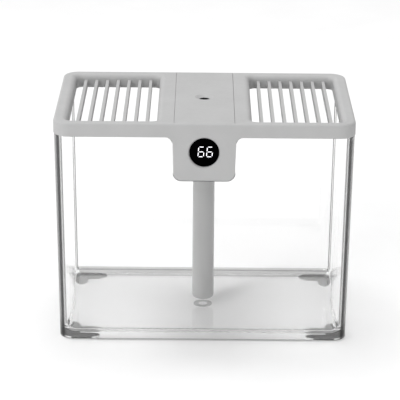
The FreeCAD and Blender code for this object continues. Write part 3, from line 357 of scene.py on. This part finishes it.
def smoked_window():
    """Near-black polished window with a very faint haze."""
    build = Nodes("smoked_window")
    shader = build.principled(Specular_IOR_Level=0.02, IOR=1.2)
    haze = build.spread(build.noise(0.3), 0, 1)
    build.link(build.mixed(haze, (0.0002, 0.0002, 0.0003), (0.0005, 0.0005, 0.0007)),
               shader.inputs["Base Color"])
    build.link(build.spread(build.noise(0.2), 0.06, 0.14), shader.inputs["Roughness"])
    return build.material


def laminate():
    """Circuit board: green mask with the weave showing faintly."""
    build = Nodes("laminate")
    shader = build.principled(Specular_IOR_Level=0.5)
    weave = build.noise(2.0, 1.0)
    build.link(build.mixed(build.spread(weave, 0, 1), (0.010, 0.10, 0.035), (0.020, 0.16, 0.06)),
               shader.inputs["Base Color"])
    build.link(build.spread(weave, 0.25, 0.4), shader.inputs["Roughness"])
    build.link(build.bump(weave, 0.01), shader.inputs["Normal"])
    return build.material


def glowing():
    """Lit display segment, a little uneven."""
    build = Nodes("lit_segment")
    shader = build.principled(Roughness=0.4)
    glow = build.spread(build.noise(1.2), 0, 1)
    build.link(build.mixed(glow, (0.86, 0.85, 0.97), (1.0, 1.0, 1.0)), shader.inputs["Emission Color"])
    build.link(build.mixed(glow, (0.80, 0.80, 0.84), (0.9, 0.9, 0.92)), shader.inputs["Base Color"])
    shader.inputs["Emission Strength"].default_value = 1.0
    return build.material


def dress(material, *names):
    """Give CAD nodes a material in place of their plain one."""
    for name in names:
        mesh = nodes[name].data
        for index in range(max(len(mesh.materials), 1)):
            if mesh.materials:
                mesh.materials[index] = material
            else:
                mesh.materials.append(material)


def dress_nodes():
    dress(clear_plastic(), "tank")
    dress(moulded("lid_plastic", 0.425, 0.55), "lid_frame")
    dress(moulded("cover_plastic", 0.422, 0.52), "top_cover")
    dress(moulded("housing_plastic", 0.43, 0.5), "housing")
    dress(moulded("retainer_plastic", 0.6, 0.5), "atomiser_retainer")
    dress(moulded("foot_rubber", 0.93, 0.8, grain_mm=0.02, specular=0.3, variation=0.02),
          "foot_pad_front_left", "foot_pad_front_right", "foot_pad_rear_left", "foot_pad_rear_right")
    dress(frosted_plastic(), "wick_tube")
    dress(cotton(), "wick")
    dress(moulded("silicone", 0.72, 0.45, grain_mm=0.01, warmth=0.02),
          "tube_seal", "housing_gasket", "atomiser_seal")
    dress(moulded("black_silicone", 0.008, 0.6, grain_mm=0.01, specular=0.2), "mist_sleeve")
    dress(smoked_window(), "display_lens")
    dress(moulded("carrier_plastic", 0.05, 0.5), "button_carrier")
    dress(moulded("component_plastic", 0.02, 0.45), "switch_plunger", "button_switch", "inductor",
          "controller_chip", "driver_transistor")
    dress(moulded("sensor_plastic", 0.7, 0.4), "humidity_sensor", "digit_display")
    dress(moulded("ribbon_plastic", 0.7, 0.4, grain_mm=0.01, warmth=0.08), "display_ribbon")
    dress(moulded("lead_insulation", 0.08, 0.4, grain_mm=0.01, warmth=0.9), "disc_leads")
    dress(moulded("disc_ceramic", 0.6, 0.4, grain_mm=0.006, warmth=0.05), "atomiser_disc")
    dress(metal("plated_steel", (0.62, 0.62, 0.62), 0.3),
          "housing_screws", "board_screws", "retainer_screws")
    dress(metal("stainless", (0.66, 0.66, 0.65), 0.25), "wick_spring", "atomiser_mesh")
    dress(metal("socket_shell", (0.60, 0.60, 0.62), 0.28), "power_socket")
    dress(metal("can_aluminium", (0.72, 0.73, 0.74), 0.3), "filter_capacitor")
    dress(laminate(), "main_board", "display_board")


# Display figures: seven-segment digits on the lens.
DIGIT_HEIGHT = 5.85 * MM
DIGIT_WIDTH = 3.3 * MM
DIGIT_PITCH = 4.63 * MM
DIGIT_SLANT = math.tan(math.radians(5))
SEGMENT_WIDTH = 0.36 * MM
SEGMENT_GAP = 0.34 * MM
SEGMENT_PROUD = 0.03 * MM
FIGURES_SHIFT = Vector((0.6 * MM, 0, 0.5 * MM))
SIX = "acdefg"


def segment_ends(letter):
    """Ends of a segment's middle line, across and up from the digit's centre."""
    x = (DIGIT_WIDTH - SEGMENT_WIDTH) / 2
    z = (DIGIT_HEIGHT - SEGMENT_WIDTH) / 2
    ends = {
        "a": ((-x, z), (x, z)),
        "c": ((x, 0), (x, -z)),
        "d": ((-x, -z), (x, -z)),
        "e": ((-x, -z), (-x, 0)),
        "f": ((-x, 0), (-x, z)),
        "g": ((-x, 0), (x, 0)),
    }
    return [Vector(end) for end in ends[letter]]


def segment_outline(letter):
    """Pointed bar along a segment's middle line."""
    first, last = segment_ends(letter)
    along = (last - first).normalized()
    across = Vector((-along.y, along.x)) * (SEGMENT_WIDTH / 2)
    first, last = first + along * SEGMENT_GAP, last - along * SEGMENT_GAP
    nose = along * (SEGMENT_WIDTH / 2)
    near = [first, first + nose - across, last - nose - across]
    far = [last, last - nose + across, first + nose + across]
    return near + far


def make_figures():
    """Two lit digits, raised a hair from the lens's face."""
    lens_low, lens_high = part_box("display_lens")
    centre = (Vector(lens_low) + Vector(lens_high)) / 2
    face = lens_low[1]
    mesh = bmesh.new()
    for place in (-0.5, 0.5):
        for letter in SIX:
            ring = []
            for point in segment_outline(letter):
                x = centre.x + FIGURES_SHIFT.x + place * DIGIT_PITCH + point.x + point.y * DIGIT_SLANT
                z = centre.z + FIGURES_SHIFT.z + point.y
                ring.append((x, z))
            front = [mesh.verts.new((x, face - SEGMENT_PROUD, z)) for x, z in ring]
            back = [mesh.verts.new((x, face + SEGMENT_PROUD, z)) for x, z in ring]
            mesh.faces.new(front)
            mesh.faces.new(back[::-1])
            for number in range(len(ring)):
                after = (number + 1) % len(ring)
                mesh.faces.new((front[after], front[number], back[number], back[after]))
    bmesh.ops.recalc_face_normals(mesh, faces=mesh.faces)
    data = bpy.data.meshes.new("lit_figures")
    mesh.to_mesh(data)
    mesh.free()
    figures = bpy.data.objects.new("lit_figures", data)
    bpy.context.scene.collection.objects.link(figures)
    data.materials.append(glowing())
    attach(figures, "display_key")


FLOOR_SIZE = 6.0


def make_floor():
    """Plain pale studio floor."""
    data = bpy.data.meshes.new("floor")
    half = FLOOR_SIZE / 2
    corners = [(-half, -half, 0), (half, -half, 0), (half, half, 0), (-half, half, 0)]
    data.from_pydata(corners, [], [(0, 1, 2, 3)])
    floor = bpy.data.objects.new("floor", data)
    bpy.context.scene.collection.objects.link(floor)
    build = Nodes("floor_paper")
    shader = build.principled(Roughness=0.9, Specular_IOR_Level=0.2)
    build.link(build.mixed(build.spread(build.noise(0.02), 0, 1), shade(0.93), shade(0.95)),
               shader.inputs["Base Color"])
    data.materials.append(build.material)


# Strength of the room's light, and how it rises towards a direction.
ROOM_STRENGTH = 0.88
ROOM_LEAN = (-0.30, -0.06, 0.0)
# Softboxes: where they hang, their sides and their watts.
KEY_PLACE = (-0.70, -0.75, 0.70)
KEY_POWER = 2.6
TOP_PLACE = (-0.05, 0.25, 1.20)
TOP_POWER = 3.2
SOFTBOX_SIDES = (0.35, 0.35)


def add_softbox(name, place, target, size, power):
    data = bpy.data.lights.new(name, "AREA")
    data.shape = "RECTANGLE"
    data.size, data.size_y = size
    data.energy = power
    lamp = bpy.data.objects.new(name, data)
    bpy.context.scene.collection.objects.link(lamp)
    ahead = (Vector(target) - Vector(place)).normalized()
    lamp.matrix_world = Matrix.Translation(place) @ ahead.to_track_quat("-Z", "Y").to_matrix().to_4x4()


def make_light():
    """A room that is brighter to the left and the front, a key softbox there, and a top one behind."""
    world = bpy.data.worlds.new("studio")
    bpy.context.scene.world = world
    world.use_nodes = True
    tree = world.node_tree
    background = tree.nodes["Background"]
    background.inputs["Color"].default_value = (1, 1, 1, 1)
    place = tree.nodes.new("ShaderNodeTexCoord")
    lean = tree.nodes.new("ShaderNodeVectorMath")
    lean.operation = "DOT_PRODUCT"
    lean.inputs[1].default_value = ROOM_LEAN
    tree.links.new(place.outputs["Generated"], lean.inputs[0])
    strength = tree.nodes.new("ShaderNodeMath")
    strength.operation = "ADD"
    strength.inputs[1].default_value = ROOM_STRENGTH
    tree.links.new(lean.outputs["Value"], strength.inputs[0])
    tree.links.new(strength.outputs[0], background.inputs["Strength"])
    middle = Vector((0, 0, cad_high[2] / 2))
    add_softbox("key", KEY_PLACE, middle, SOFTBOX_SIDES, KEY_POWER)
    add_softbox("top", TOP_PLACE, middle, SOFTBOX_SIDES, TOP_POWER)
    bpy.context.scene.view_settings.view_transform = "Standard"


make_camera()
make_light()
make_floor()
dress_nodes()
make_figures()
